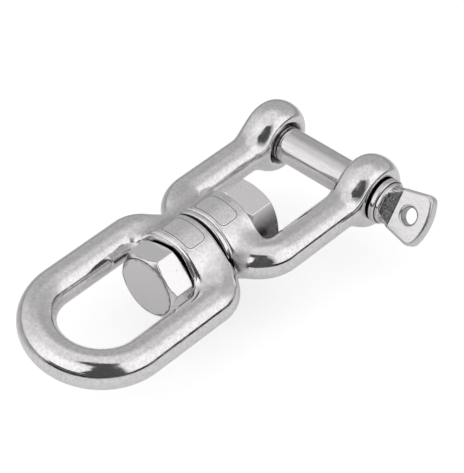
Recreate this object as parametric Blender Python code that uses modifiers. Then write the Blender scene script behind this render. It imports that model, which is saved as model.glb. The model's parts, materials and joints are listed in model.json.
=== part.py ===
"""Jaw-and-eye anchor swivel for a 12 mm anchor line, in metres.

A forged eye and a forged jaw stand hub to hub on one through bolt, and a screw
pin closes the jaw. +X runs along the swivel axis from the eye to the jaw, Y runs
along the jaw pin with its tab at -Y, and +Z is up. The origin is the centre of
the bolt head's flat end face.
"""

from math import cos, pi, radians, sin, sqrt

import bmesh
import bpy
from mathutils import Matrix

MM = 0.001

# Fits and spans shared by the pieces
SEAT_GAP = 0.3 * MM           # clearance between pieces that bear on each other
HUB_GAP = 0.8 * MM            # visible gap between the two hubs
ROD_RADIUS = 6.2 * MM         # round bar of the eye's bow and the jaw's fork
HUB_EDGE = 1.6 * MM           # rounding of the hubs' rims

# Eye
EYE_HUB_RADIUS = 14.0 * MM
EYE_HUB_LENGTH = 12.9 * MM
EYE_HALF_WIDTH = 19.3 * MM    # swivel axis to the centre line of a leg
EYE_SHOULDER = 7.3 * MM       # bend radius from the hub into a leg
EYE_BOW_CENTRE = 43.4 * MM    # joint centre to the centre of the round bow
EYE_CROSS = 5.3 * MM          # joint centre to the bar that crosses the hub
EYE_FACE_RADIUS = 14.8 * MM   # flat joint face, faced off beyond the hub
EYE_TWIST = radians(6.5)      # how far the eye stands turned from the jaw's plane

# Jaw
JAW_HUB_RADIUS = 13.6 * MM
JAW_HUB_LENGTH = 14.6 * MM
JAW_HALF_WIDTH = 20.7 * MM
JAW_SHOULDER = 11.2 * MM
JAW_CROSS = 7.0 * MM
PIN_DISTANCE = 58.8 * MM      # joint centre to the jaw pin's axis
EAR_RADIUS = 12.5 * MM
EAR_HALF_THICKNESS = 6.3 * MM
EAR_FLAT_RADIUS = 8.4 * MM    # flat ring round the pin hole

# Swivel bolt and nut
BOLT_RADIUS = 6.0 * MM
HEX_WIDTH = 21.6 * MM         # across the flats
HEAD_HEIGHT = 9.4 * MM
NUT_HEIGHT = 11.2 * MM
HEX_CHAMFER = 1.6 * MM        # height of the chamfer at a corner
HEAD_CORNER_ANGLE = radians(47.5)
NUT_CORNER_ANGLE = radians(13.0)

# Jaw pin
PIN_RADIUS = 6.1 * MM
PIN_RECESS = 0.5 * MM         # the pin's end stands this far inside the far ear
COLLAR_RADIUS = 8.0 * MM
COLLAR_THICKNESS = 3.6 * MM
NECK_ROOT_RADIUS = 6.3 * MM   # cone between the collar and the tab
NECK_TIP_RADIUS = 2.4 * MM
NECK_LENGTH = 3.6 * MM
TAB_START = 1.7 * MM          # collar to where the tab's flat faces begin
TAB_STEM_HALF_WIDTH = 4.6 * MM
TAB_ROOT_HALF_WIDTH = 6.9 * MM
TAB_HALF_WIDTH = 9.0 * MM
TAB_LENGTH = 15.8 * MM
TAB_THICKNESS = 4.8 * MM
TAB_STEP = 0.6 * MM           # short slope from the stem out to the root
TAB_CORNER = 2.6 * MM         # rounding of the tab's outer corners
TAB_CROWN = 4.4 * MM          # how far the tip stands beyond the corners' centres
TAB_HOLE_RADIUS = 2.8 * MM
TAB_HOLE_PLACE = 8.6 * MM     # collar to the centre of the hole
TAB_TURN = radians(53.0)      # the tab's width, turned up from +X about the pin

# Facets
ROUND_STEPS = 40
ROD_BEVEL_RESOLUTION = 6      # 16 sides
ARC_STEP = radians(15.0)
WELD = 0.00001

JOINT_X = HEAD_HEIGHT + SEAT_GAP + EYE_HUB_LENGTH + HUB_GAP / 2
PIN_X = JOINT_X + PIN_DISTANCE
EAR_OUTER_Y = JAW_HALF_WIDTH + EAR_HALF_THICKNESS
QUARTER_TURN = pi / 2


def clear_scene():
    for item in list(bpy.data.objects):
        bpy.data.objects.remove(item, do_unlink=True)


def make_collection(name):
    collection = bpy.data.collections.new(name)
    bpy.context.scene.collection.children.link(collection)
    return collection


def make_material(name, colour, roughness):
    material = bpy.data.materials.new(name)
    material.use_nodes = True
    shader = material.node_tree.nodes["Principled BSDF"]
    shader.inputs["Base Color"].default_value = (*colour, 1.0)
    shader.inputs["Roughness"].default_value = roughness
    shader.inputs["Metallic"].default_value = 1.0
    return material


def make_empty(name, location, twist=0.0):
    empty = bpy.data.objects.new(name, None)
    empty.location = location
    empty.rotation_euler = (twist, 0.0, 0.0)
    PARTS.objects.link(empty)
    return empty


def make_object(name, mesh, collection, parent):
    item = bpy.data.objects.new(name, mesh)
    item.parent = parent
    collection.objects.link(item)
    if collection is CUTTERS:
        item.hide_render = True
        item.display_type = "WIRE"
    return item


def arc(centre, radius, start, end):
    """Points on an arc in the XY plane, both ends included."""
    steps = max(2, round(abs(end - start) / ARC_STEP))
    angles = [start + (end - start) * i / steps for i in range(steps + 1)]
    return [(centre[0] + radius * cos(a), centre[1] + radius * sin(a)) for a in angles]


def rod(name, points, cyclic, parent):
    """A round bar along points in the XY plane, turned into a closed mesh."""
    curve = bpy.data.curves.new(name + "_path", "CURVE")
    curve.dimensions = "3D"
    curve.bevel_depth = ROD_RADIUS
    curve.bevel_resolution = ROD_BEVEL_RESOLUTION
    curve.use_fill_caps = True
    spline = curve.splines.new("POLY")
    spline.points.add(len(points) - 1)
    for point, (x, y) in zip(spline.points, points):
        point.co = (x, y, 0.0, 1.0)
    spline.use_cyclic_u = cyclic
    guide = make_object(name + "_guide", curve, CUTTERS, parent)
    bpy.context.view_layer.update()
    evaluated = guide.evaluated_get(bpy.context.evaluated_depsgraph_get())
    mesh = bpy.data.meshes.new_from_object(evaluated)
    mesh.name = name
    bpy.data.objects.remove(guide, do_unlink=True)
    weld(mesh)
    return make_object(name, mesh, PARTS, parent)


def weld(mesh):
    work = bmesh.new()
    work.from_mesh(mesh)
    bmesh.ops.remove_doubles(work, verts=work.verts, dist=WELD)
    bmesh.ops.recalc_face_normals(work, faces=work.faces)
    work.to_mesh(mesh)
    work.free()


def turned(name, profile, collection, parent, along="X"):
    """A solid turned from (radius, place) points, the outline from its far end to its near end."""
    mesh = bpy.data.meshes.new(name)
    edges = [(i, i + 1) for i in range(len(profile) - 1)]
    mesh.from_pydata([(radius, 0.0, place) for radius, place in profile], edges, [])
    item = make_object(name, mesh, collection, parent)
    item.rotation_euler = (0.0, QUARTER_TURN, 0.0) if along == "X" else (-QUARTER_TURN, 0.0, 0.0)
    screw = item.modifiers.new("Turn", "SCREW")
    screw.steps = ROUND_STEPS
    screw.render_steps = ROUND_STEPS
    screw.use_merge_vertices = True
    screw.merge_threshold = WELD
    return item


def combine(item, operand, operation):
    boolean = item.modifiers.new(operation.title(), "BOOLEAN")
    boolean.operation = operation
    boolean.object = operand
    boolean.solver = "EXACT"


def cylinder_profile(radius, far, near):
    return [(0.0, far), (radius, far), (radius, near), (0.0, near)]


def rounded_profile(radius, far, near, edge):
    """A cylinder's outline with both rims rounded."""
    steps = 4
    bends = [QUARTER_TURN * i / steps for i in range(steps + 1)]
    upper = [(radius - edge + edge * sin(a), far - edge + edge * cos(a)) for a in bends]
    lower = [(radius - edge + edge * cos(a), near + edge - edge * sin(a)) for a in bends]
    return [(0.0, far), *upper, *lower, (0.0, near)]


def ear_profile():
    """A ball flattened on both sides, with a flat ring round the pin hole."""
    steps = 12
    bulge = EAR_RADIUS - EAR_FLAT_RADIUS
    angles = [QUARTER_TURN - pi * i / steps for i in range(steps + 1)]
    side = [(EAR_FLAT_RADIUS + bulge * cos(a), EAR_HALF_THICKNESS * sin(a)) for a in angles]
    return [(0.0, EAR_HALF_THICKNESS), *side, (0.0, -EAR_HALF_THICKNESS)]


def finish(item, material):
    item.data.materials.clear()
    item.data.materials.append(material)
    item.data.shade_smooth()
    item.data.set_sharp_from_angle(angle=radians(40.0))


def make_eye(axis, material):
    """The forged eye: a bow of round bar through its own hub, bored and faced off."""
    inner = EYE_HALF_WIDTH - EYE_SHOULDER
    shoulder_x = -EYE_CROSS - EYE_SHOULDER
    path = [
        *arc((shoulder_x, inner), EYE_SHOULDER, 0.0, QUARTER_TURN),
        *arc((-EYE_BOW_CENTRE, 0.0), EYE_HALF_WIDTH, QUARTER_TURN, 3 * QUARTER_TURN),
        *arc((shoulder_x, -inner), EYE_SHOULDER, -QUARTER_TURN, 0.0),
    ]
    eye = rod("eye_body", path, True, axis)
    face = -HUB_GAP / 2
    hub_outline = rounded_profile(EYE_HUB_RADIUS, face, face - EYE_HUB_LENGTH, HUB_EDGE)
    combine(eye, turned("eye_hub", hub_outline, CUTTERS, axis), "UNION")
    bore_radius = BOLT_RADIUS + SEAT_GAP
    bore_end = -3 * EYE_HUB_LENGTH / 2
    bore = [
        (0.0, ROD_RADIUS),
        (EYE_FACE_RADIUS, ROD_RADIUS),
        (EYE_FACE_RADIUS, face),
        (bore_radius, face),
        (bore_radius, bore_end),
        (0.0, bore_end),
    ]
    combine(eye, turned("eye_bore", bore, CUTTERS, axis), "DIFFERENCE")
    finish(eye, material)


def make_jaw(axis, pin_axis, material):
    """The forged jaw: a fork of round bar with a bored hub and two ball-like ears."""
    inner = JAW_HALF_WIDTH - JAW_SHOULDER
    shoulder_x = JAW_CROSS + JAW_SHOULDER
    path = [
        (PIN_DISTANCE, JAW_HALF_WIDTH),
        *arc((shoulder_x, inner), JAW_SHOULDER, QUARTER_TURN, 2 * QUARTER_TURN),
        *arc((shoulder_x, -inner), JAW_SHOULDER, -2 * QUARTER_TURN, -QUARTER_TURN),
        (PIN_DISTANCE, -JAW_HALF_WIDTH),
    ]
    jaw = rod("jaw_body", path, False, axis)
    face = HUB_GAP / 2
    hub_outline = rounded_profile(JAW_HUB_RADIUS, face + JAW_HUB_LENGTH, face, HUB_EDGE)
    combine(jaw, turned("jaw_hub", hub_outline, CUTTERS, axis), "UNION")
    for side, y in (("far", JAW_HALF_WIDTH), ("near", -JAW_HALF_WIDTH)):
        ear = turned("ear_" + side, ear_profile(), CUTTERS, pin_axis, along="Y")
        ear.location.y = y
        combine(jaw, ear, "UNION")
    bore = cylinder_profile(BOLT_RADIUS + SEAT_GAP, 3 * JAW_HUB_LENGTH / 2, -ROD_RADIUS)
    combine(jaw, turned("jaw_bore", bore, CUTTERS, axis), "DIFFERENCE")
    reach = EAR_OUTER_Y + ROD_RADIUS
    hole = cylinder_profile(PIN_RADIUS + SEAT_GAP, reach, -reach)
    combine(jaw, turned("pin_hole", hole, CUTTERS, pin_axis, along="Y"), "DIFFERENCE")
    finish(jaw, material)


def hexagon(name, far, near, corner_angle, collection, parent):
    """A hexagonal prism along X, with chamfered corners at both ends."""
    corner = HEX_WIDTH / sqrt(3.0)
    lie_along_x = Matrix.Rotation(QUARTER_TURN, 4, "Y")
    turn = Matrix.Rotation(corner_angle, 4, "X")
    work = bmesh.new()
    bmesh.ops.create_cone(
        work,
        cap_ends=True,
        segments=6,
        radius1=corner,
        radius2=corner,
        depth=far - near + 2 * HEX_CHAMFER,
        matrix=turn @ lie_along_x,
    )
    mesh = bpy.data.meshes.new(name)
    work.to_mesh(mesh)
    work.free()
    prism = make_object(name, mesh, collection, parent)
    prism.location.x = (far + near) / 2
    rim = HEX_WIDTH / 2
    outline = [
        (0.0, far),
        (rim, far),
        (corner + WELD, far - HEX_CHAMFER),
        (corner + WELD, near + HEX_CHAMFER),
        (rim, near),
        (0.0, near),
    ]
    combine(prism, turned(name + "_chamfer", outline, CUTTERS, parent), "INTERSECT")
    return prism


def make_bolt(axis, material):
    """Hex head on the eye's side and a plain shank that ends flush with the nut."""
    bearing_face = -HUB_GAP / 2 - EYE_HUB_LENGTH - SEAT_GAP
    head_end = bearing_face - HEAD_HEIGHT
    bolt = hexagon("swivel_bolt", bearing_face, head_end, HEAD_CORNER_ANGLE, PARTS, axis)
    shank_end = HUB_GAP / 2 + JAW_HUB_LENGTH + SEAT_GAP + NUT_HEIGHT
    shank = cylinder_profile(BOLT_RADIUS, shank_end, head_end + HEAD_HEIGHT / 2)
    combine(bolt, turned("bolt_shank", shank, CUTTERS, axis), "UNION")
    finish(bolt, material)


def make_nut(axis, material):
    near = HUB_GAP / 2 + JAW_HUB_LENGTH + SEAT_GAP
    nut = hexagon("swivel_nut", near + NUT_HEIGHT, near, NUT_CORNER_ANGLE, PARTS, axis)
    bore = cylinder_profile(BOLT_RADIUS + SEAT_GAP, near + 2 * NUT_HEIGHT, near - NUT_HEIGHT)
    combine(nut, turned("nut_bore", bore, CUTTERS, axis), "DIFFERENCE")
    finish(nut, material)


def tab_outline():
    """Half outline of the spade-shaped tab: (distance from the collar, half width)."""
    stem = [
        (-COLLAR_THICKNESS / 2, TAB_STEM_HALF_WIDTH),
        (TAB_START - TAB_STEP, TAB_STEM_HALF_WIDTH),
        (TAB_START, TAB_ROOT_HALF_WIDTH),
    ]
    corner_x = TAB_LENGTH - TAB_CROWN
    corner_y = TAB_HALF_WIDTH - TAB_CORNER
    bend = arc((corner_x, corner_y), TAB_CORNER, QUARTER_TURN, QUARTER_TURN / 3)
    crown = [(TAB_LENGTH - TAB_CROWN / 8, TAB_HALF_WIDTH / 2), (TAB_LENGTH, 0.0)]
    return [*stem, *bend, *crown]


def make_tab(pin_axis):
    """The flat tab: an extruded outline with a hole for seizing wire."""
    half = tab_outline()
    outline = [*half, *[(x, -y) for x, y in reversed(half[:-1])]]
    curve = bpy.data.curves.new("tab_path", "CURVE")
    curve.dimensions = "2D"
    curve.fill_mode = "BOTH"
    curve.extrude = TAB_THICKNESS / 2
    spline = curve.splines.new("POLY")
    spline.points.add(len(outline) - 1)
    for point, (x, y) in zip(spline.points, outline):
        point.co = (x, y, 0.0, 1.0)
    spline.use_cyclic_u = True
    guide = make_object("tab_guide", curve, CUTTERS, pin_axis)
    bpy.context.view_layer.update()
    evaluated = guide.evaluated_get(bpy.context.evaluated_depsgraph_get())
    mesh = bpy.data.meshes.new_from_object(evaluated)
    bpy.data.objects.remove(guide, do_unlink=True)
    weld(mesh)
    tab = make_object("tab", mesh, CUTTERS, pin_axis)
    tab.location.y = -EAR_OUTER_Y - SEAT_GAP - COLLAR_THICKNESS
    tab.rotation_mode = "ZYX"
    tab.rotation_euler = (0.0, -TAB_TURN, -QUARTER_TURN)
    bore = cylinder_profile(TAB_HOLE_RADIUS, TAB_THICKNESS, -TAB_THICKNESS)
    hole = turned("tab_hole", bore, CUTTERS, tab)
    hole.rotation_euler = (0.0, 0.0, 0.0)
    hole.location.x = TAB_HOLE_PLACE
    combine(tab, hole, "DIFFERENCE")
    return tab


def make_pin(pin_axis, material):
    """The screw pin: a plain shaft through both ears, a collar and a flat holed tab."""
    collar_near = -EAR_OUTER_Y - SEAT_GAP
    collar_far = collar_near - COLLAR_THICKNESS
    outline = [
        (0.0, EAR_OUTER_Y - PIN_RECESS),
        (PIN_RADIUS - MM, EAR_OUTER_Y - PIN_RECESS),
        (PIN_RADIUS, EAR_OUTER_Y - PIN_RECESS - MM),
        (PIN_RADIUS, collar_near),
        (COLLAR_RADIUS, collar_near),
        (COLLAR_RADIUS, collar_far),
        (NECK_ROOT_RADIUS, collar_far),
        (NECK_TIP_RADIUS, collar_far - NECK_LENGTH),
        (0.0, collar_far - NECK_LENGTH),
    ]
    pin = turned("jaw_pin", outline, PARTS, pin_axis, along="Y")
    combine(pin, make_tab(pin_axis), "UNION")
    finish(pin, material)


clear_scene()
PARTS = make_collection("anchor_swivel")
CUTTERS = make_collection("cutters")

POLISHED = (0.74, 0.72, 0.70)
SATIN = (0.70, 0.68, 0.67)

swivel_axis = make_empty("swivel_axis", (JOINT_X, 0.0, 0.0))
eye_axis = make_empty("eye_axis", (JOINT_X, 0.0, 0.0), EYE_TWIST)
jaw_pin_axis = make_empty("jaw_pin_axis", (PIN_X, 0.0, 0.0))

make_eye(eye_axis, make_material("eye_steel", POLISHED, 0.16))
make_jaw(swivel_axis, jaw_pin_axis, make_material("jaw_steel", POLISHED, 0.16))
make_bolt(swivel_axis, make_material("bolt_steel", SATIN, 0.24))
make_nut(swivel_axis, make_material("nut_steel", SATIN, 0.24))
make_pin(jaw_pin_axis, make_material("pin_steel", POLISHED, 0.2))
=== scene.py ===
"""Looks of the jaw-and-eye anchor swivel: polished, forged stainless steel.

The forgings, the bolt, the nut and the pin are distance fields, sampled on a grid,
wrapped in quads and pulled onto the exact surface, so that the fillets between bars,
hubs and ears are as smooth as on the real forging. All lengths are in metres. The
swivel's axis is X and the pin's is Y; rho is the distance from the axis at hand.
"""

import json
from math import cos, pi, radians, sin, sqrt

import bpy
import numpy as np
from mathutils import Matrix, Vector


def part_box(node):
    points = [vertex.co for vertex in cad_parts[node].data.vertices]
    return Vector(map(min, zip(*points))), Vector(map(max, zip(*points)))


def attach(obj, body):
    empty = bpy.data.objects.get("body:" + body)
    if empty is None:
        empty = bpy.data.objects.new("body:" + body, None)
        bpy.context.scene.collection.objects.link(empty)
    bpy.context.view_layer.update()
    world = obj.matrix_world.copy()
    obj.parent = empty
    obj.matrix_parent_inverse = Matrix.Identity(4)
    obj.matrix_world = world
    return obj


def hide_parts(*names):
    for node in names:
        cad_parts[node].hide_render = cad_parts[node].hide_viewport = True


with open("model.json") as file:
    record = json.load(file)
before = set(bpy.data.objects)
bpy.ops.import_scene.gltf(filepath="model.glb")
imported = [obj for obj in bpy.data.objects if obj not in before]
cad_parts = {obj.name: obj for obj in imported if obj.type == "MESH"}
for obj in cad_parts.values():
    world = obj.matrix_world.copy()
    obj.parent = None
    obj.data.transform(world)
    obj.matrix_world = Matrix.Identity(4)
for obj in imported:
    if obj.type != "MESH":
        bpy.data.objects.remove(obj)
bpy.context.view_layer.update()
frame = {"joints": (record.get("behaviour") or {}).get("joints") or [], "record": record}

MM = 0.001

# ---------------------------------------------------------------- places, from the frame
JOINTS = {joint["name"]: joint for joint in frame["joints"]}
MOUNTS = {mount["name"]: mount for mount in frame["record"]["mounts"]}
JOINT_X = JOINTS["swivel"]["pos_m"][0]
PIN_X = MOUNTS["jaw_cheek_far"]["pos_m"][0]
CHEEK_Y = MOUNTS["jaw_cheek_far"]["pos_m"][1]
EAR_OUTER_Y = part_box("jaw_body")[1].y
TAB_END_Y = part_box("jaw_pin")[0].y
NUT_END_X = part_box("swivel_nut")[1].x
NUT_NEAR_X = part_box("swivel_nut")[0].x
JAW_REACH = PIN_X - JOINT_X
JAW_HALF_WIDTH = (EAR_OUTER_Y + CHEEK_Y) / 2
EAR_HALF_THICKNESS = (EAR_OUTER_Y - CHEEK_Y) / 2

# ---------------------------------------------------------------- sizes
BAR = 6.2 * MM                # radius of the eye's and the jaw's round bar
BORE = 6.3 * MM               # radius of the hubs' bores
BORE_EDGE = 0.6 * MM
HUB_GAP = 0.8 * MM            # between the two hubs
SEAT_GAP = 0.3 * MM           # under the bolt's head and under the pin's collar

EYE_TWIST = radians(6.5)      # the eye's turn about the swivel's axis at rest
EYE_HUB = 14.0 * MM
EYE_HUB_LENGTH = 12.9 * MM
EYE_HUB_EDGE = 1.5 * MM
EYE_FILLET = 6.5 * MM         # between the eye's bar and its hub
EYE_HALF_WIDTH = 19.3 * MM
EYE_SHOULDER = 7.3 * MM
EYE_BOW_CENTRE = 43.4 * MM
EYE_CROSS = 5.3 * MM
EYE_FACE = 14.8 * MM          # radius of the eye's flat joint face
EYE_FACE_EDGE = 0.7 * MM

JAW_HUB = 13.6 * MM
JAW_HUB_LENGTH = 14.6 * MM
JAW_HUB_EDGE = 0.7 * MM
JAW_RIM = 2.5 * MM            # joint centre to the groove that sets off the hub's joint rim
JAW_RIM_RADIUS = 13.3 * MM
JAW_CORE_INSET = 0.7 * MM     # the forging lies this far below the turned rim
JAW_CORE_EDGE = 0.5 * MM
JAW_SHOULDER = 11.2 * MM
JAW_CROSS = 7.0 * MM
JAW_FILLET = 5.0 * MM
EAR_FLAT = 8.4 * MM
EAR_RADIUS = 12.5 * MM
EAR_FILLET = 4.0 * MM
EAR_EDGE = 0.8 * MM
PIN_HOLE = 6.4 * MM
PIN_HOLE_EDGE = 0.5 * MM
COUNTERSINK = 1.6 * MM        # in the far ear's inner cheek

BOLT = 6.0 * MM
HEX_ACROSS = 21.6 * MM
HEX_EDGE = 0.3 * MM
HEX_LEAN = radians(30.0)      # of the turned-down corners
HEAD_CORNER = radians(47.5)   # from +Y towards +Z
HEAD_CHAMFER = 0.6 * MM       # at the head's free end
HEAD_SEAT_CHAMFER = 0.4 * MM
NUT_CORNER = radians(13.0)
NUT_SEAT_CHAMFER = 0.7 * MM
NUT_CHAMFER = 0.3 * MM
CHAMFER_EDGE = 0.25 * MM      # rounding left where a chamfer meets a face

PIN = 6.1 * MM
COLLAR = 8.0 * MM
COLLAR_THICKNESS = 3.6 * MM
COLLAR_LIP = 7.2 * MM         # radius of the collar's outer step
COLLAR_STEP = 1.3 * MM        # depth of that step
THREAD_START_Y = EAR_OUTER_Y - 13.4 * MM
THREAD_PITCH = 1.25 * MM
THREAD_DEPTH = 0.32 * MM
RAMP_LENGTH = 3.4 * MM        # collar to where the tab becomes flat
RAMP_SLOPE = 1.1
TAB_TURN = radians(53.0)
TAB_HALF_THICKNESS = 2.4 * MM
TAB_HALF_WIDTH = 9.0 * MM
TAB_ROOT_HALF_WIDTH = 6.9 * MM
TAB_START = 1.7 * MM
TAB_CORNER = 2.6 * MM
TAB_CROWN = 20.0 * MM         # radius of the tab's bowed end
TAB_BEVEL = 0.7 * MM
TAB_HOLE = 2.8 * MM
TAB_HOLE_PLACE = 8.6 * MM

PANEL_HALF_LENGTH = 3.9 * MM
PANEL_HALF_ARC = 6.7 * MM
PANEL_CORNER = 1.9 * MM
PANEL_ANGLE = radians(4.0)    # panel's middle, from +Z towards -Y
EYE_PANEL_X = -7.1 * MM
JAW_PANEL_X = 7.9 * MM

EYE_SEAT_X = JOINT_X - HUB_GAP / 2 - EYE_HUB_LENGTH    # where the head's seat is cut
HEAD_BEARING_X = EYE_SEAT_X - SEAT_GAP
COLLAR_FAR_Y = -EAR_OUTER_Y - SEAT_GAP - COLLAR_THICKNESS
TAB_LENGTH = COLLAR_FAR_Y - TAB_END_Y
FLOOR_Z = -EYE_HALF_WIDTH - BAR - 0.5 * MM    # the floor clears the eye as it swivels


# ---------------------------------------------------------------- distance fields
def blend_min(a, b, width):
    """Union of two fields with a fillet of about the given width."""
    share = np.clip(0.5 + 0.5 * (b - a) / width, 0.0, 1.0)
    return b * (1 - share) + a * share - width * share * (1 - share)


def blend_max(a, b, width):
    """What two fields share, with the edge between them rounded."""
    return -blend_min(-a, -b, width)


def cut(a, b, width):
    """Field a with field b taken out of it."""
    return blend_max(a, -b, width)


def bevel_max(a, b, width):
    """What two fields share, with a flat bevel of the given width along the edge."""
    return blend_max(np.maximum(a, b), (a + b + width) * sqrt(0.5), CHAMFER_EDGE)


def disc(along, radial, low, high, radius, edge):
    """A round slab about an axis, its rims rounded."""
    half = (high - low) / 2
    over = np.abs(along - (low + high) / 2) - half + edge
    out = radial - radius + edge
    outside = np.hypot(np.maximum(over, 0.0), np.maximum(out, 0.0))
    return np.minimum(np.maximum(over, out), 0.0) + outside - edge


def bent_bar(x, y, z, left, right, half_width, left_bend, right_bend, radius):
    """A round bar bent along a rectangle in the XY plane with rounded corners."""
    across = x - (left + right) / 2
    bend = np.where(across < 0.0, left_bend, right_bend)
    dx = np.abs(across) - (right - left) / 2 + bend
    dy = np.abs(y) - half_width + bend
    flat = np.minimum(np.maximum(dx, dy), 0.0)
    flat = flat + np.hypot(np.maximum(dx, 0.0), np.maximum(dy, 0.0)) - bend
    return np.hypot(flat, z) - radius


def eye_field(p):
    """The forged eye: bow, shoulders and hub, bored for the bolt."""
    c, s = cos(EYE_TWIST), sin(EYE_TWIST)
    x = p[:, 0] - JOINT_X
    y = p[:, 1] * c + p[:, 2] * s
    z = p[:, 2] * c - p[:, 1] * s
    rho = np.hypot(y, z)
    left = -EYE_BOW_CENTRE - EYE_HALF_WIDTH
    bar = bent_bar(
        x, y, z, left, -EYE_CROSS, EYE_HALF_WIDTH, EYE_HALF_WIDTH, EYE_SHOULDER, BAR
    )
    face = -HUB_GAP / 2
    hub = disc(x, rho, face - EYE_HUB_LENGTH, face, EYE_HUB, EYE_HUB_EDGE)
    body = blend_min(bar, hub, EYE_FILLET)
    joint_face = np.maximum(face - x, rho - EYE_FACE)
    body = cut(body, joint_face, EYE_FACE_EDGE)
    bore_end = face - 1.5 * EYE_HUB_LENGTH
    bore = np.maximum(rho - BORE, bore_end - x)
    return cut(body, bore, BORE_EDGE)


def ear(x, y, z):
    """A ball flattened on both sides, about the pin's axis."""
    rho = np.hypot(x, z)
    bulge = EAR_RADIUS - EAR_FLAT
    out = np.maximum(rho - EAR_FLAT, 0.0)
    ratio = np.hypot(out / bulge, y / EAR_HALF_THICKNESS)
    slope = np.hypot(out / bulge**2, y / EAR_HALF_THICKNESS**2)
    return (ratio - 1.0) * ratio / np.maximum(slope, 1.0)


def jaw_field(p):
    """The forged jaw: fork, hub and two ball-like ears."""
    x, y, z = p[:, 0] - JOINT_X, p[:, 1], p[:, 2]
    rho = np.hypot(y, z)
    beyond = np.maximum(x - JAW_REACH, 0.0)
    far_past_the_ears = 4 * JAW_REACH
    bar = bent_bar(
        x - beyond, y, np.hypot(z, beyond), JAW_CROSS, far_past_the_ears,
        JAW_HALF_WIDTH, JAW_SHOULDER, JAW_SHOULDER, BAR,
    )
    face = HUB_GAP / 2
    groove, overlap = 0.1 * MM, MM
    hub = disc(x, rho, JAW_RIM + groove, face + JAW_HUB_LENGTH, JAW_HUB, JAW_HUB_EDGE)
    core_radius = JAW_RIM_RADIUS - JAW_CORE_INSET
    core = disc(x, rho, face, JAW_RIM + overlap, core_radius, JAW_CORE_EDGE)
    body = blend_min(bar, hub, JAW_FILLET)
    body = np.minimum(body, core)
    ears = ear(x - JAW_REACH, np.abs(y) - JAW_HALF_WIDTH, z)
    body = blend_min(body, ears, EAR_FILLET)
    body = blend_max(body, np.abs(y) - EAR_OUTER_Y, EAR_EDGE)
    body = cut(body, rho - BORE, BORE_EDGE)
    pin_radial = np.hypot(x - JAW_REACH, z)
    countersink = (pin_radial - PIN_HOLE + y - CHEEK_Y - COUNTERSINK) * sqrt(0.5)
    hole = np.minimum(pin_radial - PIN_HOLE, np.where(y > 0.0, countersink, MM))
    return cut(body, hole, PIN_HOLE_EDGE)


def hexagon(y, z, corner_angle, across):
    """A hexagonal bar along X, with a corner at the given angle from +Y."""
    angle = np.arctan2(z, y) - corner_angle
    radial = np.hypot(y, z)
    normals = [radians(30.0 + 60.0 * i) for i in range(6)]
    faces = [radial * np.cos(angle - normal) - across / 2 for normal in normals]
    field = faces[0]
    for face in faces[1:]:
        field = blend_max(field, face, HEX_EDGE)
    return field


def chamfered_hexagon(x, y, z, low, high, corner_angle, chamfer_low, chamfer_high):
    """A hexagonal prism whose corners are turned down towards both ends."""
    rho = np.hypot(y, z)
    body = hexagon(y, z, corner_angle, HEX_ACROSS)
    ends = np.abs(x - (low + high) / 2) - (high - low) / 2
    body = blend_max(body, ends, HEX_EDGE)
    for depth, place in ((chamfer_low, low - x), (chamfer_high, x - high)):
        cone = (rho - HEX_ACROSS / 2 + depth) * sin(HEX_LEAN) + place * cos(HEX_LEAN)
        body = blend_max(body, cone, CHAMFER_EDGE)
    return body


def bolt_field(p):
    """Hex head and plain shank of the swivel bolt."""
    x, y, z = p[:, 0], p[:, 1], p[:, 2]
    head = chamfered_hexagon(
        x, y, z, 0.0, HEAD_BEARING_X, HEAD_CORNER, HEAD_CHAMFER, HEAD_SEAT_CHAMFER
    )
    inside_head, end_edge, fillet = 2 * MM, 0.5 * MM, 0.3 * MM
    shank = disc(x, np.hypot(y, z), HEAD_BEARING_X - inside_head, NUT_END_X, BOLT, end_edge)
    return blend_min(head, shank, fillet)


def nut_field(p):
    """Hex nut with its bore."""
    x, y, z = p[:, 0], p[:, 1], p[:, 2]
    body = chamfered_hexagon(
        x, y, z, NUT_NEAR_X, NUT_END_X, NUT_CORNER, NUT_SEAT_CHAMFER, NUT_CHAMFER
    )
    bore_edge = 0.4 * MM
    return cut(body, np.hypot(y, z) - BORE, bore_edge)


def tab_field(away, width, thick):
    """The flat tab: away from the collar, across its width and through its thickness."""
    widest_from_end = 4.4 * MM
    flare_length = TAB_LENGTH - widest_from_end - TAB_START
    flare = (TAB_HALF_WIDTH - TAB_ROOT_HALF_WIDTH) / flare_length
    lean = 1.0 / sqrt(1.0 + flare**2)
    side = (np.abs(width) - TAB_ROOT_HALF_WIDTH - flare * (away - TAB_START)) * lean
    tip = np.hypot(away - TAB_LENGTH + TAB_CROWN, width) - TAB_CROWN
    outline = blend_max(side, tip, TAB_CORNER)
    root_edge, hole_edge = 1.2 * MM, 0.2 * MM
    outline = blend_max(outline, TAB_START - away, root_edge)
    hole = np.hypot(away - TAB_HOLE_PLACE, width) - TAB_HOLE
    outline = cut(outline, hole, hole_edge)
    return bevel_max(outline, np.abs(thick) - TAB_HALF_THICKNESS, TAB_BEVEL)


def ramp_field(rho, away, width, thick):
    """The short slope from the collar down to the tab's two flat sides."""
    steep = sqrt(1.0 + RAMP_SLOPE**2)
    ramp = (np.abs(thick) - TAB_HALF_THICKNESS - RAMP_SLOPE * (RAMP_LENGTH - away)) / steep
    ramp = np.maximum(ramp, np.abs(width) - TAB_ROOT_HALF_WIDTH)
    inset, edge = 0.4 * MM, 0.8 * MM
    ramp = blend_max(ramp, rho - COLLAR_LIP + inset, edge)
    return np.maximum(ramp, np.maximum(away - RAMP_LENGTH, -away - MM))


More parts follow.
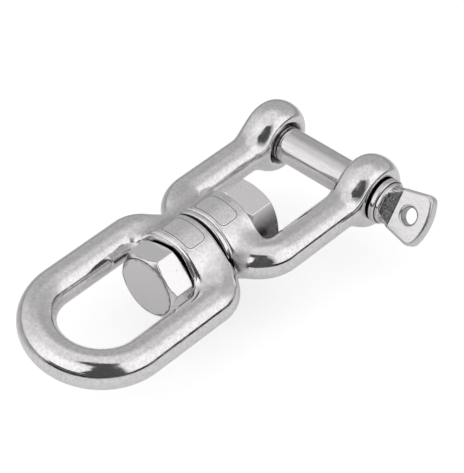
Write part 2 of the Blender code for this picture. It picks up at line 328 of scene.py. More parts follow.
def pin_field(p):
    """The screw pin: shaft, collar, ramp and tab."""
    x, y, z = p[:, 0] - PIN_X, p[:, 1], p[:, 2]
    rho = np.hypot(x, z)
    away = COLLAR_FAR_Y - y
    shaft_end = EAR_OUTER_Y - 0.5 * MM
    shaft_edge, collar_edge, lip_edge = 0.8 * MM, 0.5 * MM, 0.4 * MM
    turned = disc(y, rho, COLLAR_FAR_Y, shaft_end, PIN, shaft_edge)
    groove = (1.0 - np.cos((y - THREAD_START_Y) * 2 * pi / THREAD_PITCH)) * THREAD_DEPTH / 2
    turned = turned + np.where(y > THREAD_START_Y, groove, 0.0)
    relief = 0.25 * MM        # dark gap left between the collar and the ear
    lip_root = 2.0 * MM
    collar = disc(away, rho, relief - COLLAR_THICKNESS, -COLLAR_STEP, COLLAR, collar_edge)
    lip = disc(away, rho, -lip_root, 0.0, COLLAR_LIP, lip_edge)
    width = x * cos(TAB_TURN) + z * sin(TAB_TURN)
    thick = z * cos(TAB_TURN) - x * sin(TAB_TURN)
    collar_fillet, tab_fillet = 0.2 * MM, 0.4 * MM
    body = blend_min(turned, np.minimum(collar, lip), collar_fillet)
    body = blend_min(body, ramp_field(rho, away, width, thick), tab_fillet)
    return blend_min(body, tab_field(away, width, thick), tab_fillet)


# ---------------------------------------------------------------- from field to mesh
PULLS = 4                     # how often a vertex is pulled onto the exact surface
LEAST_STEEPNESS = 0.05        # of the squared gradient, so that a pull stays short


def slopes(field, points, reach=0.02 * MM):
    """The field's gradient at each point."""
    parts = []
    for axis in range(3):
        offset = np.zeros(3)
        offset[axis] = reach
        parts.append((field(points + offset) - field(points - offset)) / (2 * reach))
    return np.stack(parts, axis=1)


CELL_CORNERS = np.array([(i, j, k) for i in (0, 1) for j in (0, 1) for k in (0, 1)])
CELL_EDGES = [
    (a, b)
    for a in range(8)
    for b in range(a + 1, 8)
    if np.abs(CELL_CORNERS[a] - CELL_CORNERS[b]).sum() == 1
]


def wrap(field, low, high, step):
    """Quads round a field's zero surface: one vertex for each grid cell that it crosses."""
    counts = np.ceil((np.array(high) - np.array(low)) / step).astype(int) + 1
    lines = [low[axis] + step * np.arange(counts[axis]) for axis in range(3)]
    grid = np.stack(np.meshgrid(*lines, indexing="ij"), axis=-1)
    value = field(grid.reshape(-1, 3)).reshape(counts)
    inside = value < 0.0
    cells = np.stack(
        [
            inside[i:counts[0] - 1 + i, j:counts[1] - 1 + j, k:counts[2] - 1 + k]
            for i, j, k in CELL_CORNERS
        ]
    )
    crossed = cells.any(axis=0) & ~cells.all(axis=0)
    index = np.full(crossed.shape, -1)
    index[crossed] = np.arange(crossed.sum())
    where = np.argwhere(crossed)
    corner = value[tuple(np.moveaxis(where[:, None, :] + CELL_CORNERS, -1, 0))]
    total = np.zeros((len(where), 3))
    hits = np.zeros(len(where))
    for a, b in CELL_EDGES:
        flips = (corner[:, a] < 0.0) != (corner[:, b] < 0.0)
        drop = np.where(flips, corner[:, a] - corner[:, b], 1.0)
        share = np.where(flips, corner[:, a], 0.0) / drop
        place = CELL_CORNERS[a] + share[:, None] * (CELL_CORNERS[b] - CELL_CORNERS[a])
        total += place * flips[:, None]
        hits += flips
    points = np.array(low) + step * (where + total / hits[:, None])
    for _ in range(PULLS):
        slope = slopes(field, points)
        steep = np.maximum((slope**2).sum(axis=1), LEAST_STEEPNESS)
        points -= slope * (np.clip(field(points), -step, step) / steep)[:, None]
    quads = []
    for axis in range(3):
        u, v = [(1, 2), (2, 0), (0, 1)][axis]
        first = np.take(inside, range(counts[axis] - 1), axis)
        second = np.take(inside, range(1, counts[axis]), axis)
        edge = np.argwhere(first != second)
        edge = edge[(edge[:, u] > 0) & (edge[:, v] > 0)]
        edge = edge[(edge[:, u] < counts[u] - 1) & (edge[:, v] < counts[v] - 1)]
        du, dv = np.eye(3, dtype=int)[u], np.eye(3, dtype=int)[v]
        ring = [edge - du - dv, edge - dv, edge, edge - du]
        quad = np.stack([index[tuple(corner.T)] for corner in ring], axis=1)
        leaving = first[tuple(edge.T)]
        quad[~leaving] = quad[~leaving][:, ::-1]
        quads.append(quad)
    return points, np.concatenate(quads)


def new_object(name, points, faces, material=None):
    """A new mesh object in the scene."""
    mesh = bpy.data.meshes.new(name)
    mesh.from_pydata(points, [], faces)
    if material is not None:
        mesh.materials.append(material)
    made = bpy.data.objects.new(name, mesh)
    bpy.context.scene.collection.objects.link(made)
    return made


def new_piece(name, points, faces, material, body):
    """A smooth mesh piece that moves with a body."""
    piece = new_object(name, points, faces, material)
    piece.data.shade_smooth()
    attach(piece, body)
    return piece


def solid(name, field, step, body, node, material):
    """A piece wrapped round a field in place of a CAD node, with the field's exact normals."""
    lowest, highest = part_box(node)
    margin = 2 * step
    low = [value - margin for value in lowest]
    high = [value + margin for value in highest]
    points, quads = wrap(field, low, high, step)
    piece = new_piece(name, points.tolist(), quads.tolist(), material, body)
    normals = slopes(field, points)
    normals /= np.linalg.norm(normals, axis=1, keepdims=True)
    piece.data.normals_split_custom_set_from_vertices(normals.tolist())
    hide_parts(node)
    return piece


def lathed_ring(name, profile, body, material):
    """A ring turned about the swivel axis from its (x, radius) outline."""
    turns = 256
    count = len(profile)
    points = []
    for i in range(turns):
        angle = 2 * pi * i / turns
        points += [(x, radius * cos(angle), radius * sin(angle)) for x, radius in profile]
    quads = []
    for i in range(turns):
        ahead = count if i < turns - 1 else count - turns * count
        for j in range(count):
            a, b = i * count + j, i * count + (j + 1) % count
            quads.append((a, b, b + ahead, a + ahead))
    return new_piece(name, points, quads, material, body)


def rim_profile(low, high, inner, outer, low_edge, high_edge):
    """A ring's cross-section with its two outer corners rounded."""
    corners = ((low + low_edge, low_edge, 180.0), (high - high_edge, high_edge, 90.0))
    parts = 8
    profile = [(high, inner), (low, inner)]
    for centre_x, radius, start in corners:
        for part in range(parts + 1):
            angle = radians(start - 90.0 * part / parts)
            place = (centre_x + radius * cos(angle), outer - radius + radius * sin(angle))
            profile.append(place)
    return profile


# ---------------------------------------------------------------- shader helpers
NOISE_LOW, NOISE_HIGH = 0.3, 0.7    # the range that a noise mostly fills


class Graph:
    """Adds nodes to a node tree. A value is a number, a vector or another node's output."""

    def __init__(self, tree):
        self.tree = tree

    def feed(self, value, socket):
        """Link a node's output to a socket, or set the socket to a number or a vector."""
        if isinstance(value, bpy.types.NodeSocket):
            self.tree.links.new(value, socket)
        else:
            socket.default_value = value

    def node(self, kind, inputs=(), output=0, **settings):
        made = self.tree.nodes.new(kind)
        for name, value in settings.items():
            setattr(made, name, value)
        for name, value in dict(inputs).items():
            self.feed(value, made.inputs[name])
        return made.outputs[output]

    def math(self, operation, *values):
        return self.node("ShaderNodeMath", dict(enumerate(values)), operation=operation)

    def times(self, a, b):
        return self.math("MULTIPLY", a, b)

    def plus(self, a, b):
        return self.math("ADD", a, b)

    def minus(self, a, b):
        return self.math("SUBTRACT", a, b)

    def greatest(self, first, *others):
        for other in others:
            first = self.math("MAXIMUM", first, other)
        return first

    def hypot(self, a, b):
        return self.math("SQRT", self.plus(self.times(a, a), self.times(b, b)))

    def split(self, vector):
        made = self.node("ShaderNodeSeparateXYZ", {"Vector": vector}).node
        return made.outputs[0], made.outputs[1], made.outputs[2]

    def stretch(self, vector, factors):
        return self.node("ShaderNodeVectorMath", {0: vector, 1: factors}, operation="MULTIPLY")

    def bearing(self, x, y):
        """Degrees round from -Y towards +X."""
        return self.times(self.math("ARCTAN2", x, self.times(y, -1.0)), 180.0 / pi)

    def ramp(self, value, low, high, to_low=0.0, to_high=1.0, smooth=True):
        """Value mapped from low..high to to_low..to_high, held outside."""
        kind = "SMOOTHSTEP" if smooth else "LINEAR"
        ends = {
            "Value": value, "From Min": low, "From Max": high, "To Min": to_low, "To Max": to_high
        }
        return self.node("ShaderNodeMapRange", ends, interpolation_type=kind, clamp=True)

    def spread(self, noise, to_low, to_high):
        """A noise mapped to to_low..to_high."""
        return self.ramp(noise, NOISE_LOW, NOISE_HIGH, to_low, to_high)

    def window(self, value, low, high, soft):
        """1 between low and high, 0 outside, with soft edges."""
        rise = self.ramp(value, low - soft, low + soft)
        fall = self.ramp(value, high - soft, high + soft)
        return self.minus(rise, fall)

    def lerp(self, share, a, b):
        return self.node("ShaderNodeMix", {"Factor": share, "A": a, "B": b})

    def stops(self, value, low, high, points):
        """A smooth curve through (place, level) points along low..high."""
        along = self.ramp(value, low, high, smooth=False)
        made = self.node("ShaderNodeFloatCurve", {"Value": along})
        curve = made.node.mapping.curves[0]
        for place, level in points[1:-1]:
            curve.points.new((place - low) / (high - low), level)
        for index, (place, level) in enumerate(points):
            curve.points[index].location = ((place - low) / (high - low), level)
        made.node.mapping.update()
        return made

    def noise(self, vector, size, detail=2.0, roughness=0.5):
        """Noise from 0 to 1 whose lumps are about size across."""
        inputs = {"Vector": vector, "Scale": 1.0 / size, "Detail": detail, "Roughness": roughness}
        return self.node("ShaderNodeTexNoise", inputs)

    def specks(self, vector, spacing, inside, outside):
        """Tiny round specks, scattered about spacing apart."""
        inputs = {"Vector": vector, "Scale": 1.0 / spacing}
        nearest = self.node("ShaderNodeTexVoronoi", inputs, output="Distance")
        return self.ramp(nearest, 0.035, 0.075, inside, outside)

    def bump(self, height, distance, normal=None):
        inputs = {"Height": height, "Distance": distance, "Strength": 1.0}
        if normal is not None:
            inputs["Normal"] = normal
        return self.node("ShaderNodeBump", inputs)


# ---------------------------------------------------------------- materials
PAINTED_SHADE_LEVEL = 0.05                  # colour level of the painted shade in a crevice; the hexagons' specks go to it too
GREEN_SHARE = 0.978           # of the steel's red, which makes it very slightly warm
BLUE_SHARE = 0.984
SATIN_ROUGHNESS = 0.42        # in the fillets
MACHINED_ROUGHNESS = 0.2      # of the hexagons and the panels
CONE_SLOPE = 0.577            # rise of a hexagon's turned-down corners


def metal(name):
    """A new metallic material, its graph, its shader and the piece's own coordinates."""
    material = bpy.data.materials.new(name)
    material.use_nodes = True
    shader = material.node_tree.nodes["Principled BSDF"]
    shader.inputs["Metallic"].default_value = 1.0
    graph = Graph(material.node_tree)
    place = graph.node("ShaderNodeTexCoord", output="Object")
    return material, graph, shader, place


def steel_colour(graph, shader, level, crevice):
    """A slightly warm steel grey, darkened with painted shade in crevices, and on the hexagons with
    specks too.
    """
    level = graph.lerp(crevice, level, PAINTED_SHADE_LEVEL)
    green = graph.times(level, GREEN_SHARE)
    blue = graph.times(level, BLUE_SHARE)
    colour = graph.node("ShaderNodeCombineColor", {"Red": level, "Green": green, "Blue": blue})
    graph.feed(colour, shader.inputs["Base Color"])


def joint_gap_shade(graph, x):
    """1 in the narrow gap between the two hubs, which gets painted shade."""
    soft, onto_rim = 0.12 * MM, 0.4 * MM
    low = JOINT_X - HUB_GAP / 2 - soft
    return graph.window(x, low, JOINT_X + HUB_GAP / 2 + onto_rim, soft)


def eye_painted_shade(graph, place):
    """Painted shade in the joint gap and round the bolt's head."""
    x, y, z = graph.split(place)
    rho = graph.hypot(y, z)
    on_seat = graph.window(x, EYE_SEAT_X - MM, EYE_SEAT_X + 0.6 * MM, 0.3 * MM)
    under_head = graph.times(on_seat, graph.ramp(rho, 10.9 * MM, 12.3 * MM, 1.0, 0.0))
    return graph.greatest(under_head, joint_gap_shade(graph, x))


def jaw_painted_shade(graph, place):
    """Painted shade in the joint gap, under the pin's collar and round the pin."""
    x, y, z = graph.split(place)
    rho = graph.hypot(graph.minus(x, PIN_X), z)
    outside = graph.math("ABSOLUTE", y)
    on_ear = graph.ramp(outside, EAR_OUTER_Y - 0.8 * MM, EAR_OUTER_Y - 0.3 * MM)
    under_collar = graph.times(graph.ramp(rho, 7.6 * MM, 8.0 * MM, 1.0, 0.0), on_ear)
    past_cheek = graph.ramp(outside, CHEEK_Y, CHEEK_Y + 0.3 * MM)
    in_hole = graph.times(graph.ramp(rho, 7.2 * MM, 8.0 * MM, 0.8, 0.0), past_cheek)
    return graph.greatest(under_collar, in_hole, joint_gap_shade(graph, x))


def pin_painted_shade(graph, place, scores):
    """Painted shade in the collar's grooves, in the thread, on the concave ramp and in the tab's
    hole.
    """
    x, y, z = graph.split(place)
    x = graph.minus(x, PIN_X)
    rho = graph.hypot(x, z)
    away = graph.minus(COLLAR_FAR_Y, y)
    width = graph.plus(graph.times(x, cos(TAB_TURN)), graph.times(z, sin(TAB_TURN)))
    near_gap = graph.window(y, -EAR_OUTER_Y - 0.62 * MM, -EAR_OUTER_Y + 0.2 * MM, 0.1 * MM)
    from_hole = graph.hypot(graph.minus(away, TAB_HOLE_PLACE), width)
    hole = graph.ramp(from_hole, TAB_HOLE + 0.02 * MM, TAB_HOLE + 0.25 * MM, 0.45, 0.0)
    on_thread = graph.window(y, THREAD_START_Y, EAR_OUTER_Y - 1.4 * MM, 0.2 * MM)
    thread = graph.times(on_thread, 0.6)
    on_step = graph.window(away, -1.5 * MM, -1.1 * MM, 0.1 * MM)
    step = graph.times(on_step, graph.ramp(rho, 7.3 * MM, 7.7 * MM, 1.0, 0.0))
    # painted shade on the concave ramp, broken up by the score lines
    on_ramp = graph.window(away, 0.1 * MM, RAMP_LENGTH, 0.12 * MM)
    scored = graph.times(on_ramp, graph.ramp(scores, 0.40, 0.62, 0.6, 0.0))
    return graph.greatest(near_gap, hole, thread, step, scored)


def fillet_dullness(graph, place, low_x, high_x):
    """1 in the fillets between a hub and its bars, which the polishing wheel can't reach."""
    x, y, z = graph.split(place)
    rho = graph.hypot(y, z)
    rise = graph.ramp(rho, 14.1 * MM, 14.8 * MM)
    band = graph.times(rise, graph.ramp(rho, 17.4 * MM, 18.9 * MM, 1.0, 0.0))
    return graph.times(band, graph.window(x, JOINT_X + low_x, JOINT_X + high_x, MM))


def forged_polish(name, painted_shade_and_specks, fillet_low_x, fillet_high_x):
    """Polished forging: mirror-like but faintly wavy, with the grain and the pits that
    polishing leaves, and satin in the fillets."""
    material, graph, shader, place = metal(name)
    waves = graph.noise(place, 8 * MM, detail=1.0)
    ripple = graph.noise(place, 1.8 * MM, detail=3.0, roughness=0.6)
    grain = graph.noise(place, 0.32 * MM, detail=2.0, roughness=0.7)
    wave_depth, ripple_depth, grain_depth = 0.06 * MM, 0.018 * MM, 0.005 * MM
    normal = graph.bump(waves, wave_depth)
    normal = graph.bump(ripple, ripple_depth, normal)
    normal = graph.bump(grain, grain_depth, normal)
    graph.feed(normal, shader.inputs["Normal"])
    mottle = graph.noise(place, 1.1 * MM, detail=4.0, roughness=0.7)
    pits = graph.specks(place, 2.6 * MM, 0.45, 1.0)
    shade = graph.times(graph.spread(mottle, 0.71, 0.88), pits)
    # painted shade in the forging's crevices
    steel_colour(graph, shader, shade, painted_shade_and_specks(graph, place))
    rough = graph.spread(graph.noise(place, 4 * MM, detail=3.0), 0.06, 0.17)
    dull = fillet_dullness(graph, place, fillet_low_x, fillet_high_x)
    graph.feed(graph.lerp(dull, rough, SATIN_ROUGHNESS), shader.inputs["Roughness"])
    return material


def painted_end_lines(graph, x, z, rho, broken):
    """Dark lines of painted shade on the bolt's end: a broken ring on its upper half, the end's
    edge and where the corners' chamfers meet the flats.
    """
    ring = graph.times(graph.window(rho, 9.3 * MM, 9.5 * MM, 0.06 * MM), broken)
    ring = graph.times(ring, graph.ramp(x, 0.1 * MM, 0.3 * MM, 0.8, 0.0))
    ring = graph.times(ring, graph.ramp(z, 0.0, 5.0 * MM))
    flat = HEX_ACROSS / 2 - HEAD_CHAMFER
    cone_x = graph.times(graph.minus(rho, flat), CONE_SLOPE)
    chamfer_shade = graph.window(graph.minus(x, cone_x), 0.1 * MM, 0.26 * MM, 0.05 * MM)
    chamfer_shade = graph.times(chamfer_shade, graph.times(broken, 0.7))
    at_flat = graph.window(rho, flat - 0.12 * MM, flat + 0.2 * MM, 0.06 * MM)
    edge = graph.times(at_flat, graph.ramp(x, 0.3 * MM, 0.6 * MM, 0.8, 0.0))
    return graph.greatest(ring, chamfer_shade, edge)


def machined(name, low_side_shade):
    """Machined hexagon: satin, with fine grain, a few scratches and specks; its dark corners, its
    end and the nut's low side are darkened with painted shade.
    """
    material, graph, shader, place = metal(name)
    x, y, z = graph.split(place)
    rho = graph.hypot(y, z)
    grain = graph.noise(place, 0.25 * MM, detail=3.0, roughness=0.7)
    lines = graph.noise(graph.stretch(place, (1.0, 0.12, 0.12)), 0.16 * MM, detail=2.0)
    wave_depth, grain_depth, line_depth = 0.02 * MM, 0.004 * MM, 0.003 * MM
    normal = graph.bump(graph.noise(place, 6 * MM), wave_depth)
    normal = graph.bump(grain, grain_depth, normal)
    normal = graph.bump(lines, line_depth, normal)
    graph.feed(normal, shader.inputs["Normal"])
    # painted shade: the bolt's end face is darker than its sides
    painted_end_shade = graph.ramp(x, 0.1 * MM, 0.4 * MM, 0.85, 1.0)
    shade = graph.times(graph.spread(grain, 0.82, 0.94), painted_end_shade)
    broken = graph.ramp(graph.noise(place, 2.4 * MM, detail=3.0), 0.46, 0.54)
    marks = painted_end_lines(graph, x, z, rho, broken)
    specks = graph.specks(place, 3.4 * MM, 0.6, 0.0)
    # painted shade on the shank behind the head and in front of the nut
    behind_head = graph.window(
        x, HEAD_BEARING_X - 0.3 * MM, HEAD_BEARING_X + 2.0 * MM, 0.1 * MM
    )
    before_nut = graph.window(x, NUT_NEAR_X - 2.0 * MM, NUT_NEAR_X + 0.6 * MM, 0.15 * MM)
    # painted shade: darker towards the bottom on the -Y side, streaked by the scratch lines
    painted_low_shade = graph.times(
        graph.ramp(z, 1.5 * MM, 9.0 * MM, low_side_shade, 0.0),
        graph.ramp(y, -7.0 * MM, -5.0 * MM, 1.0, 0.0),
    )
    painted_low_shade = graph.times(painted_low_shade, graph.spread(lines, 0.75, 1.0))
    # all painted shade, together with the real specks
    painted_shade_and_specks = graph.greatest(behind_head, before_nut, marks, specks, painted_low_shade)
    steel_colour(graph, shader, shade, painted_shade_and_specks)
    shader.inputs["Roughness"].default_value = MACHINED_ROUGHNESS
    return material


def cast_panel(name, centre_x, hub_radius):
    """The blank marking panel: the rough skin of the forging die inside a dark outline of painted
    shade along its groove.
    """
    material, graph, shader, place = metal(name)
    x, y, z = graph.split(place)
    angle = graph.math("ARCTAN2", graph.times(y, -1.0), z)
    arc = graph.math("ABSOLUTE", graph.times(graph.minus(angle, PANEL_ANGLE), hub_radius))
    along = graph.math("ABSOLUTE", graph.minus(x, JOINT_X + centre_x))
    out_u = graph.minus(along, PANEL_HALF_LENGTH - PANEL_CORNER)
    out_v = graph.minus(arc, PANEL_HALF_ARC - PANEL_CORNER)
    edge = graph.hypot(graph.greatest(out_u, 0.0), graph.greatest(out_v, 0.0))
    # the outline darkens the groove with painted shade
    outline = graph.window(edge, PANEL_CORNER - 0.14 * MM, PANEL_CORNER + 0.14 * MM, 0.06 * MM)
    low, high = PANEL_CORNER - 0.1 * MM, PANEL_CORNER + 0.1 * MM
    lump_height = graph.ramp(edge, low, high, 0.045 * MM, 0.003 * MM)
    lumps = graph.noise(place, 0.42 * MM, detail=3.0, roughness=0.7)
    graph.feed(graph.bump(lumps, lump_height), shader.inputs["Normal"])
    steel_colour(graph, shader, graph.spread(lumps, 0.70, 0.98), graph.times(outline, 0.75))
    shader.inputs["Roughness"].default_value = MACHINED_ROUGHNESS
    return material


def pin_polish(name):
    """Turned pin: polished shaft and collar, scored ramp, grainy tab."""
    material, graph, shader, place = metal(name)
    y = graph.split(place)[1]
    on_tab = graph.ramp(y, COLLAR_FAR_Y - TAB_START, COLLAR_FAR_Y, 1.0, 0.0)
    grain = graph.noise(place, 0.3 * MM, detail=3.0, roughness=0.7)
    drawn = graph.stretch(place, (1.0, 0.15, 1.0))
    scores = graph.noise(drawn, 0.5 * MM, detail=3.0, roughness=0.7)
    normal = graph.bump(grain, graph.ramp(on_tab, 0.0, 1.0, 0.002 * MM, 0.012 * MM))
    score_depth = graph.ramp(on_tab, 0.0, 1.0, 0.002 * MM, 0.03 * MM)
    graph.feed(graph.bump(scores, score_depth, normal), shader.inputs["Normal"])
    shade = graph.plus(graph.spread(grain, 0.0, 0.07), graph.spread(scores, 0.65, 0.73))
    # painted shade in the pin's grooves, thread, ramp and tab hole
    steel_colour(graph, shader, shade, pin_painted_shade(graph, place, scores))
    graph.feed(graph.ramp(on_tab, 0.0, 1.0, 0.09, 0.26), shader.inputs["Roughness"])
    return material


# ---------------------------------------------------------------- marking panels
def panel_lift(u, v, margin):
    """Height of a panel's skin over its hub: raised, with a groove along the outline,
    and falling below the hub's surface towards the plate's own edge."""
    raised, groove_depth, groove_width = 0.07 * MM, 0.055 * MM, 0.16 * MM
    flat_margin, fall_depth = 0.3 * MM, 0.13 * MM
    out_u = np.abs(u) - PANEL_HALF_LENGTH + PANEL_CORNER
    out_v = np.abs(v) - PANEL_HALF_ARC + PANEL_CORNER
    edge = np.hypot(np.maximum(out_u, 0), np.maximum(out_v, 0)) - PANEL_CORNER
    edge += np.minimum(np.maximum(out_u, out_v), 0)
    fall = np.clip((edge - flat_margin) / (margin - flat_margin), 0.0, 1.0)
    return raised - groove_depth * np.exp(-((edge / groove_width) ** 2)) - fall_depth * fall**2


def plate_faces(across, around):
    """Faces of a closed plate: a grid of across x around points, and its copy below."""
    below = across * around
    faces = []
    for i in range(across - 1):
        for j in range(around - 1):
            a = i * around + j
            ring = (a, a + around, a + around + 1, a + 1)
            faces.append(ring[::-1])
            faces.append(tuple(index + below for index in ring))
    rim = [i * around for i in range(across)]
    rim += [(across - 1) * around + j for j in range(1, around)]
    rim += [i * around + around - 1 for i in range(across - 2, -1, -1)]
    rim += list(range(around - 2, 0, -1))
    for a, b in zip(rim, rim[1:] + rim[:1]):
        faces.append((a, b, b + below, a + below))
    return faces


def hub_panel(name, centre_x, hub_radius, body):
    """A blank rounded panel on top of a hub: a thin curved plate whose outline is a groove."""
    margin, step, thickness = 0.65 * MM, 0.12 * MM, 0.6 * MM
    half_length, half_arc = PANEL_HALF_LENGTH + margin, PANEL_HALF_ARC + margin
    across, around = int(2 * half_length / step), int(2 * half_arc / step)
    along = np.linspace(-half_length, half_length, across)
    arc = np.linspace(-half_arc, half_arc, around)
    u, v = [part.ravel() for part in np.meshgrid(along, arc, indexing="ij")]
    angle = PANEL_ANGLE + v / hub_radius
    points = []
    for depth in (panel_lift(u, v, margin), np.full_like(u, -thickness)):
        radius = hub_radius + depth
        points += zip(JOINT_X + centre_x + u, -radius * np.sin(angle), radius * np.cos(angle))
    points = [tuple(map(float, point)) for point in points]
    material = cast_panel(name, centre_x, hub_radius)
    return new_piece(name, points, plate_faces(across, around), material, body)


# ---------------------------------------------------------------- pieces
FORGED_GRID = 0.4 * MM
TURNED_GRID = 0.24 * MM
# each forging gets painted shade in its own crevices
EYE_STEEL = forged_polish("eye_polish", eye_painted_shade, -15.5 * MM, -1.0 * MM)
JAW_STEEL = forged_polish("jaw_polish", jaw_painted_shade, 1.5 * MM, 14.5 * MM)
# the nut gets painted shade on its low side, the bolt none
BOLT_STEEL = machined("bolt_hexagon", low_side_shade=0.0)
NUT_STEEL = machined("nut_hexagon", low_side_shade=0.9)
PIN_STEEL = pin_polish("pin_polish")

eye = solid("eye_forging", eye_field, FORGED_GRID, "eye", "eye_body", EYE_STEEL)
jaw = solid("jaw_forging", jaw_field, FORGED_GRID, "jaw", "jaw_body", JAW_STEEL)
solid("bolt_turned", bolt_field, TURNED_GRID, "bolt", "swivel_bolt", BOLT_STEEL)
solid("nut_turned", nut_field, TURNED_GRID, "bolt", "swivel_nut", NUT_STEEL)
pin = solid("pin_turned", pin_field, TURNED_GRID, "pin", "jaw_pin", PIN_STEEL)
rim = rim_profile(
    JOINT_X + HUB_GAP / 2 + 0.2 * MM, JOINT_X + JAW_RIM,
    JAW_RIM_RADIUS - 2 * MM, JAW_RIM_RADIUS, 0.9 * MM, 0.3 * MM,
)
lathed_ring("jaw_hub_rim", rim, "jaw", JAW_STEEL)
hub_panel("eye_hub_panel", EYE_PANEL_X, EYE_HUB, "eye")
hub_panel("jaw_hub_panel", JAW_PANEL_X, JAW_HUB, "jaw")


# ---------------------------------------------------------------- floor, light and camera
FRONT_LOW, FRONT_HIGH, FRONT_SOFT = -110.0, 52.0, 8.0    # bearings of the dark front
FRONT_FAR = 0.03              # the far table's light towards the front, and the horizon's
TABLE_WHITE = 0.82
RIG_HEIGHT = 0.30
RIG_LIGHT = 0.085             # the little light that the dark rig gives off


def glowing(name, base):
    """A matt material that gives off white light, its graph and its shader."""
    material = bpy.data.materials.new(name)
    material.use_nodes = True
    shader = material.node_tree.nodes["Principled BSDF"]
    shader.inputs["Base Color"].default_value = (base, base, base, 1.0)
    shader.inputs["Specular IOR Level"].default_value = 0.0
    shader.inputs["Emission Color"].default_value = (1.0, 1.0, 1.0, 1.0)
    return material, Graph(material.node_tree), shader


def front(graph, turn, behind, ahead):
    """One level towards the front and another behind, by bearing."""
    share = graph.window(turn, FRONT_LOW, FRONT_HIGH, FRONT_SOFT)
    return graph.ramp(share, 0.0, 1.0, behind, ahead)


def make_floor():
    """A white sweep that glows a little, like a light table, so that shadows stay faint.
    Polished steel mirrors it as white near the swivel and dark further off to the front."""
    material, graph, shader = glowing("floor_white", TABLE_WHITE)
    shader.inputs["Roughness"].default_value = 0.95
    seen = graph.node("ShaderNodeLightPath", output="Is Camera Ray")
    place = graph.node("ShaderNodeTexCoord", output="Object")
    reach = graph.node("ShaderNodeVectorMath", {0: place}, output="Value", operation="LENGTH")
    x, y, _ = graph.split(place)
    near = graph.ramp(y, 0.03, 0.11, 1.0, 0.65)
    far = front(graph, graph.bearing(x, y), 0.5, FRONT_FAR)
    near_reach, far_reach = 0.16, 0.32
    table = graph.lerp(graph.ramp(reach, near_reach, far_reach), near, far)
    seen_white, seen_glow, table_glow = 0.7, 0.56, 0.1
    white = graph.lerp(seen, graph.times(table, TABLE_WHITE), seen_white)
    graph.feed(white, shader.inputs["Base Color"])
    glow = graph.lerp(seen, graph.times(table, table_glow), seen_glow)
    graph.feed(glow, shader.inputs["Emission Strength"])
    half = 3.0
    corners = [
        (-half, -half, FLOOR_Z), (half, -half, FLOOR_Z),
        (half, half, FLOOR_Z), (-half, half, FLOOR_Z),
    ]
    new_object("floor", corners, [(0, 1, 2, 3)], material)


def make_rig():
    """The dark camera rig that leans over the table. Only polished metal mirrors it."""
    material, _, shader = glowing("dark_rig", 0.0)
    shader.inputs["Emission Strength"].default_value = RIG_LIGHT
    overhead = [
        (-0.01, -0.165), (-0.07, -0.04), (-0.145, -0.03), (-0.17, -0.155), (-0.25, -0.19),
        (-0.36, -0.27), (-0.60, -0.34), (-1.10, -0.47), (-0.90, -0.90), (-0.34, -1.40),
        (-0.24, -0.95), (-0.12, -0.55), (-0.075, -0.28), (-0.03, -0.20),
    ]
    points = [(x, y, RIG_HEIGHT) for x, y in overhead]
    upright = [(-0.095, -0.38), (-0.70, -0.40)]
    points += [(x, y, RIG_HEIGHT) for x, y in upright]
    points += [(x, y, FLOOR_Z) for x, y in upright[::-1]]
    count = len(overhead)
    faces = [tuple(range(count)), tuple(range(count, count + 4))]
    rig = new_object("camera_rig", points, faces, material)
    rig.visible_camera = False
    rig.visible_diffuse = False
    rig.visible_shadow = False


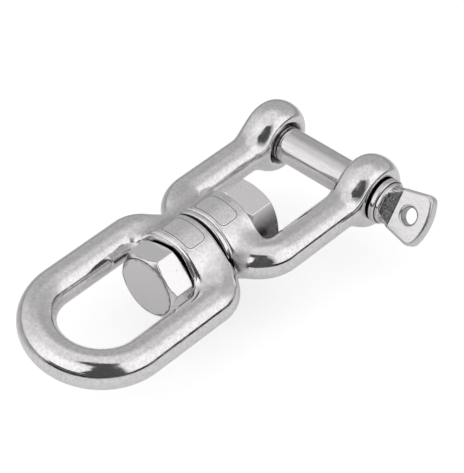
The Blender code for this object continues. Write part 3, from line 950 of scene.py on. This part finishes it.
def make_camera():
    """Looks down on the swivel from its eye's near side, with the object filling the picture."""
    azimuth, elevation = radians(-47.24), radians(42.2)
    distance = 0.695
    back = Vector((sin(azimuth) * cos(elevation), -cos(azimuth) * cos(elevation), sin(elevation)))
    right = Vector((cos(azimuth), sin(azimuth), 0.0))
    up = back.cross(right)
    points = np.concatenate([
        np.array([vertex.co for vertex in piece.data.vertices]) for piece in (eye, jaw, pin)
    ])
    centre = Vector((0.0, 0.0, 0.0))
    for axis in (right, up):
        reach = points @ np.array(axis)
        centre += axis * (reach.min() + reach.max()) / 2
    data = bpy.data.cameras.new("camera")
    data.sensor_width = 36.0
    data.lens = 170.0
    camera = bpy.data.objects.new("camera", data)
    camera.location = centre + back * distance
    camera.rotation_mode = "QUATERNION"
    camera.rotation_quaternion = (-back).to_track_quat("-Z", "Y")
    bpy.context.scene.collection.objects.link(camera)
    bpy.context.scene.camera = camera


def make_light():
    """A soft white tent: bright panels left and right of the camera, grey walls behind,
    and the dark camera and table edge that polished steel shows as crisp dark patches."""
    world = bpy.data.worlds.new("studio")
    bpy.context.scene.world = world
    world.use_nodes = True
    graph = Graph(world.node_tree)
    x, y, z = graph.split(graph.node("ShaderNodeTexCoord", output="Generated"))
    turn = graph.bearing(x, y)
    rise = graph.times(graph.math("ARCSINE", z), 180.0 / pi)
    brightness, top = 1.22, 0.85
    walls = graph.stops(turn, -180.0, 180.0, [
        (-180, 0.56), (-150, 0.68), (-125, 0.88), (-95, 0.96), (-62, 0.92), (-27, 0.34),
        (-14, 0.46), (-2, 0.88), (30, 0.93), (45, 0.80), (62, 0.52), (90, 0.42),
        (150, 0.41), (180, 0.56),
    ])
    walls = graph.times(walls, brightness)
    wall_top, tent_top = 46.0, 70.0
    level = graph.lerp(graph.ramp(rise, wall_top, tent_top), walls, top)
    darkest = 0.035
    rig_edge = -58.5
    below_rig = graph.ramp(rise, 22.0, 28.0, 1.0, 0.0)
    rig = graph.times(graph.window(turn, rig_edge, -24.0, 2.0), below_rig)
    core = graph.times(graph.window(turn, rig_edge, -49.0, 2.0), graph.window(rise, 4.0, 25.0, 2.0))
    bar = graph.times(graph.window(turn, -106.0, -58.0, 3.0), graph.window(rise, 5.0, 13.0, 1.0))
    for share, light in ((rig, RIG_LIGHT), (core, darkest), (bar, darkest)):
        level = graph.lerp(share, level, light)
    horizon = graph.window(rise, -10.0, 4.5, 1.0)
    level = graph.lerp(horizon, level, front(graph, turn, 0.36, FRONT_FAR))
    seen = graph.node("ShaderNodeLightPath", output="Is Camera Ray")
    graph.feed(graph.lerp(seen, level, 1.0), world.node_tree.nodes["Background"].inputs["Color"])


make_floor()
make_rig()
make_light()
make_camera()
bpy.context.scene.view_settings.view_transform = "Standard"
